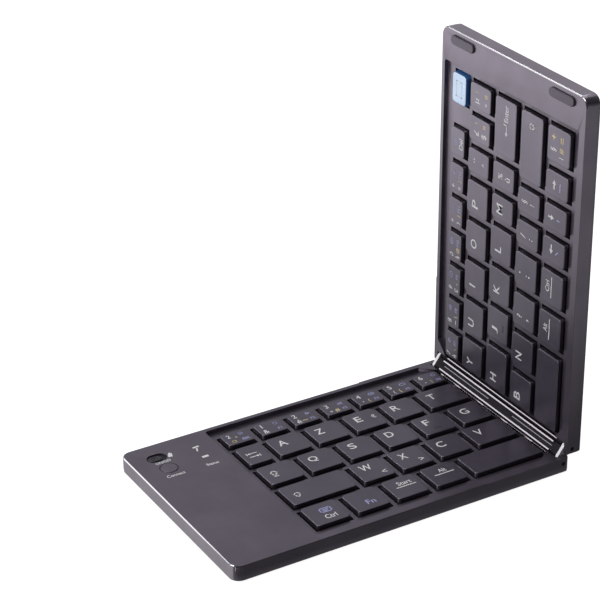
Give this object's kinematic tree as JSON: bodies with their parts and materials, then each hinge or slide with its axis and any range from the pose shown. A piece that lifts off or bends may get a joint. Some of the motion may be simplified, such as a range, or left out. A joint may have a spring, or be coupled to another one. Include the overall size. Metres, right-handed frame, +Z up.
{
  "type": "folding keyboard",
  "caption": "Folding pocket keyboard, two thin key halves on a double-pivot spine, half open, with a key well in each half and a blank control area.",
  "frame": {"origin": "under the middle of the keyboard's box, on the surface it stands on, with the upper half at a right angle", "axes": "+Z up, +X from the lower half's far end towards the hinge, -Y the space bar side, +Y the number row side"},
  "size_m": [0.1672, 0.0998, 0.169],
  "materials": {
    "case_metal": "fine satin anodised look, dark blue grey",
    "cover_metal": "satin, dark blue grey",
    "plate_metal": "plain stamped",
    "membrane_film": "clear film with printed tracks",
    "dome_rubber": "silicone, matt",
    "scissor_plastic": "moulded",
    "foot_rubber": "matt",
    "screw_steel": "plain",
    "board": "solder mask",
    "battery_foil": "pouch foil",
    "spine_plastic": "satin moulded",
    "link_metal": "polished",
    "pin_steel": "turned",
    "cable_film": "amber film",
    "pad_rubber": "matt",
    "switch_plastic": "moulded, ribbed",
    "button_plastic": "satin, dark blue grey",
    "key_plastic": "fine satin, printed legends",
    "blue_key_plastic": "satin blue"
  },
  "bodies": {
    "lower_half": {"lower_top_frame": "case_metal", "lower_bottom_cover": "cover_metal", "lower_support_plate": "plate_metal", "lower_membrane": "membrane_film", "lower_domes": "dome_rubber", "lower_scissors": "scissor_plastic", "lower_feet": "foot_rubber", "lower_screws": "screw_steel", "main_board": "board", "battery": "battery_foil"},
    "hinge_spine": {"hinge_spine": "spine_plastic", "hinge_links": "link_metal", "hinge_pins": "pin_steel", "flex_cable": "cable_film"},
    "upper_half": {"upper_top_frame": "case_metal", "upper_back_cover": "cover_metal", "upper_support_plate": "plate_metal", "upper_membrane": "membrane_film", "upper_domes": "dome_rubber", "upper_scissors": "scissor_plastic", "upper_feet": "foot_rubber", "upper_screws": "screw_steel", "bumper_pads": "pad_rubber"},
    "power_switch_slider": {"power_switch_slider": "switch_plastic"},
    "connect_button": {"connect_button": "button_plastic"},
    "key_a": {"key_a": "key_plastic"},
    "key_z": {"key_z": "key_plastic"},
    "key_e": {"key_e": "key_plastic"},
    "key_r": {"key_r": "key_plastic"},
    "key_t": {"key_t": "key_plastic"},
    "key_q": {"key_q": "key_plastic"},
    "key_s": {"key_s": "key_plastic"},
    "key_d": {"key_d": "key_plastic"},
    "key_f": {"key_f": "key_plastic"},
    "key_g": {"key_g": "key_plastic"},
    "key_w": {"key_w": "key_plastic"},
    "key_x": {"key_x": "key_plastic"},
    "key_c": {"key_c": "key_plastic"},
    "key_v": {"key_v": "key_plastic"},
    "space_bar_left": {"space_bar_left": "key_plastic"},
    "number_keys_left": {"number_keys_left": "key_plastic"},
    "modifier_keys_left": {"modifier_keys_left": "key_plastic"},
    "key_y": {"key_y": "key_plastic"},
    "key_u": {"key_u": "key_plastic"},
    "key_i": {"key_i": "key_plastic"},
    "key_o": {"key_o": "key_plastic"},
    "key_p": {"key_p": "key_plastic"},
    "key_h": {"key_h": "key_plastic"},
    "key_j": {"key_j": "key_plastic"},
    "key_k": {"key_k": "key_plastic"},
    "key_l": {"key_l": "key_plastic"},
    "key_m": {"key_m": "key_plastic"},
    "key_b": {"key_b": "key_plastic"},
    "key_n": {"key_n": "key_plastic"},
    "space_bar_right": {"space_bar_right": "key_plastic"},
    "enter_key": {"enter_key": "key_plastic"},
    "pairing_key": {"pairing_key": "blue_key_plastic"},
    "number_keys_right": {"number_keys_right": "key_plastic"},
    "modifier_keys_right": {"modifier_keys_right": "key_plastic"},
    "punctuation_keys": {"punctuation_keys": "key_plastic"}
  },
  "joints": [
    {"name": "hinge_lower", "type": "hinge", "parent": "lower_half", "child": "hinge_spine", "pos_m": [0.07448, 0, 0.005], "axis": [0, 1, 0], "range_deg": [-35, 55], "deforming": ["flex_cable"]},
    {"name": "hinge_upper", "type": "hinge", "parent": "hinge_spine", "child": "upper_half", "pos_m": [0.07863, 0, 0.01093], "axis": [0, 1, 0], "range_deg": [-55, 35], "deforming": ["flex_cable"]},
    {"name": "power_switch_slide", "type": "slide", "parent": "lower_half", "child": "power_switch_slider", "axis": [1, 0, 0], "range_m": [0, 0.002]},
    {"name": "connect_button_press", "type": "slide", "parent": "lower_half", "child": "connect_button", "axis": [0, 0, -1], "range_m": [0, 0.0004], "stiffness_N_per_m": 1500, "springref_m": -0.0005},
    {"name": "key_a_press", "type": "slide", "parent": "lower_half", "child": "key_a", "axis": [0, 0, -1], "range_m": [0, 0.0012], "stiffness_N_per_m": 300, "springref_m": -0.001, "deforming": ["lower_domes", "lower_scissors"]},
    {"name": "key_z_press", "type": "slide", "parent": "lower_half", "child": "key_z", "axis": [0, 0, -1], "range_m": [0, 0.0012], "stiffness_N_per_m": 300, "springref_m": -0.001, "deforming": ["lower_domes", "lower_scissors"]},
    {"name": "key_e_press", "type": "slide", "parent": "lower_half", "child": "key_e", "axis": [0, 0, -1], "range_m": [0, 0.0012], "stiffness_N_per_m": 300, "springref_m": -0.001, "deforming": ["lower_domes", "lower_scissors"]},
    {"name": "key_r_press", "type": "slide", "parent": "lower_half", "child": "key_r", "axis": [0, 0, -1], "range_m": [0, 0.0012], "stiffness_N_per_m": 300, "springref_m": -0.001, "deforming": ["lower_domes", "lower_scissors"]},
    {"name": "key_t_press", "type": "slide", "parent": "lower_half", "child": "key_t", "axis": [0, 0, -1], "range_m": [0, 0.0012], "stiffness_N_per_m": 300, "springref_m": -0.001, "deforming": ["lower_domes", "lower_scissors"]},
    {"name": "key_q_press", "type": "slide", "parent": "lower_half", "child": "key_q", "axis": [0, 0, -1], "range_m": [0, 0.0012], "stiffness_N_per_m": 300, "springref_m": -0.001, "deforming": ["lower_domes", "lower_scissors"]},
    {"name": "key_s_press", "type": "slide", "parent": "lower_half", "child": "key_s", "axis": [0, 0, -1], "range_m": [0, 0.0012], "stiffness_N_per_m": 300, "springref_m": -0.001, "deforming": ["lower_domes", "lower_scissors"]},
    {"name": "key_d_press", "type": "slide", "parent": "lower_half", "child": "key_d", "axis": [0, 0, -1], "range_m": [0, 0.0012], "stiffness_N_per_m": 300, "springref_m": -0.001, "deforming": ["lower_domes", "lower_scissors"]},
    {"name": "key_f_press", "type": "slide", "parent": "lower_half", "child": "key_f", "axis": [0, 0, -1], "range_m": [0, 0.0012], "stiffness_N_per_m": 300, "springref_m": -0.001, "deforming": ["lower_domes", "lower_scissors"]},
    {"name": "key_g_press", "type": "slide", "parent": "lower_half", "child": "key_g", "axis": [0, 0, -1], "range_m": [0, 0.0012], "stiffness_N_per_m": 300, "springref_m": -0.001, "deforming": ["lower_domes", "lower_scissors"]},
    {"name": "key_w_press", "type": "slide", "parent": "lower_half", "child": "key_w", "axis": [0, 0, -1], "range_m": [0, 0.0012], "stiffness_N_per_m": 300, "springref_m": -0.001, "deforming": ["lower_domes", "lower_scissors"]},
    {"name": "key_x_press", "type": "slide", "parent": "lower_half", "child": "key_x", "axis": [0, 0, -1], "range_m": [0, 0.0012], "stiffness_N_per_m": 300, "springref_m": -0.001, "deforming": ["lower_domes", "lower_scissors"]},
    {"name": "key_c_press", "type": "slide", "parent": "lower_half", "child": "key_c", "axis": [0, 0, -1], "range_m": [0, 0.0012], "stiffness_N_per_m": 300, "springref_m": -0.001, "deforming": ["lower_domes", "lower_scissors"]},
    {"name": "key_v_press", "type": "slide", "parent": "lower_half", "child": "key_v", "axis": [0, 0, -1], "range_m": [0, 0.0012], "stiffness_N_per_m": 300, "springref_m": -0.001, "deforming": ["lower_domes", "lower_scissors"]},
    {"name": "space_bar_left_press", "type": "slide", "parent": "lower_half", "child": "space_bar_left", "axis": [0, 0, -1], "range_m": [0, 0.0012], "stiffness_N_per_m": 300, "springref_m": -0.001, "deforming": ["lower_domes", "lower_scissors"]},
    {"name": "number_keys_left_press", "type": "slide", "parent": "lower_half", "child": "number_keys_left", "axis": [0, 0, -1], "range_m": [0, 0.0012], "stiffness_N_per_m": 300, "springref_m": -0.001, "deforming": ["lower_domes", "lower_scissors"]},
    {"name": "modifier_keys_left_press", "type": "slide", "parent": "lower_half", "child": "modifier_keys_left", "axis": [0, 0, -1], "range_m": [0, 0.0012], "stiffness_N_per_m": 300, "springref_m": -0.001, "deforming": ["lower_domes", "lower_scissors"]},
    {"name": "key_y_press", "type": "slide", "parent": "upper_half", "child": "key_y", "axis": [1, 0, 0], "range_m": [0, 0.0012], "stiffness_N_per_m": 300, "springref_m": -0.001, "deforming": ["upper_domes", "upper_scissors"]},
    {"name": "key_u_press", "type": "slide", "parent": "upper_half", "child": "key_u", "axis": [1, 0, 0], "range_m": [0, 0.0012], "stiffness_N_per_m": 300, "springref_m": -0.001, "deforming": ["upper_domes", "upper_scissors"]},
    {"name": "key_i_press", "type": "slide", "parent": "upper_half", "child": "key_i", "axis": [1, 0, 0], "range_m": [0, 0.0012], "stiffness_N_per_m": 300, "springref_m": -0.001, "deforming": ["upper_domes", "upper_scissors"]},
    {"name": "key_o_press", "type": "slide", "parent": "upper_half", "child": "key_o", "axis": [1, 0, 0], "range_m": [0, 0.0012], "stiffness_N_per_m": 300, "springref_m": -0.001, "deforming": ["upper_domes", "upper_scissors"]},
    {"name": "key_p_press", "type": "slide", "parent": "upper_half", "child": "key_p", "axis": [1, 0, 0], "range_m": [0, 0.0012], "stiffness_N_per_m": 300, "springref_m": -0.001, "deforming": ["upper_domes", "upper_scissors"]},
    {"name": "key_h_press", "type": "slide", "parent": "upper_half", "child": "key_h", "axis": [1, 0, 0], "range_m": [0, 0.0012], "stiffness_N_per_m": 300, "springref_m": -0.001, "deforming": ["upper_domes", "upper_scissors"]},
    {"name": "key_j_press", "type": "slide", "parent": "upper_half", "child": "key_j", "axis": [1, 0, 0], "range_m": [0, 0.0012], "stiffness_N_per_m": 300, "springref_m": -0.001, "deforming": ["upper_domes", "upper_scissors"]},
    {"name": "key_k_press", "type": "slide", "parent": "upper_half", "child": "key_k", "axis": [1, 0, 0], "range_m": [0, 0.0012], "stiffness_N_per_m": 300, "springref_m": -0.001, "deforming": ["upper_domes", "upper_scissors"]},
    {"name": "key_l_press", "type": "slide", "parent": "upper_half", "child": "key_l", "axis": [1, 0, 0], "range_m": [0, 0.0012], "stiffness_N_per_m": 300, "springref_m": -0.001, "deforming": ["upper_domes", "upper_scissors"]},
    {"name": "key_m_press", "type": "slide", "parent": "upper_half", "child": "key_m", "axis": [1, 0, 0], "range_m": [0, 0.0012], "stiffness_N_per_m": 300, "springref_m": -0.001, "deforming": ["upper_domes", "upper_scissors"]},
    {"name": "key_b_press", "type": "slide", "parent": "upper_half", "child": "key_b", "axis": [1, 0, 0], "range_m": [0, 0.0012], "stiffness_N_per_m": 300, "springref_m": -0.001, "deforming": ["upper_domes", "upper_scissors"]},
    {"name": "key_n_press", "type": "slide", "parent": "upper_half", "child": "key_n", "axis": [1, 0, 0], "range_m": [0, 0.0012], "stiffness_N_per_m": 300, "springref_m": -0.001, "deforming": ["upper_domes", "upper_scissors"]},
    {"name": "space_bar_right_press", "type": "slide", "parent": "upper_half", "child": "space_bar_right", "axis": [1, 0, 0], "range_m": [0, 0.0012], "stiffness_N_per_m": 300, "springref_m": -0.001, "deforming": ["upper_domes", "upper_scissors"]},
    {"name": "enter_key_press", "type": "slide", "parent": "upper_half", "child": "enter_key", "axis": [1, 0, 0], "range_m": [0, 0.0012], "stiffness_N_per_m": 300, "springref_m": -0.001, "deforming": ["upper_domes", "upper_scissors"]},
    {"name": "pairing_key_press", "type": "slide", "parent": "upper_half", "child": "pairing_key", "axis": [1, 0, 0], "range_m": [0, 0.0012], "stiffness_N_per_m": 300, "springref_m": -0.001, "deforming": ["upper_domes", "upper_scissors"]},
    {"name": "number_keys_right_press", "type": "slide", "parent": "upper_half", "child": "number_keys_right", "axis": [1, 0, 0], "range_m": [0, 0.0012], "stiffness_N_per_m": 300, "springref_m": -0.001, "deforming": ["upper_domes", "upper_scissors"]},
    {"name": "modifier_keys_right_press", "type": "slide", "parent": "upper_half", "child": "modifier_keys_right", "axis": [1, 0, 0], "range_m": [0, 0.0012], "stiffness_N_per_m": 300, "springref_m": -0.001, "deforming": ["upper_domes", "upper_scissors"]},
    {"name": "punctuation_keys_press", "type": "slide", "parent": "upper_half", "child": "punctuation_keys", "axis": [1, 0, 0], "range_m": [0, 0.0012], "stiffness_N_per_m": 300, "springref_m": -0.001, "deforming": ["upper_domes", "upper_scissors"]}
  ]
}
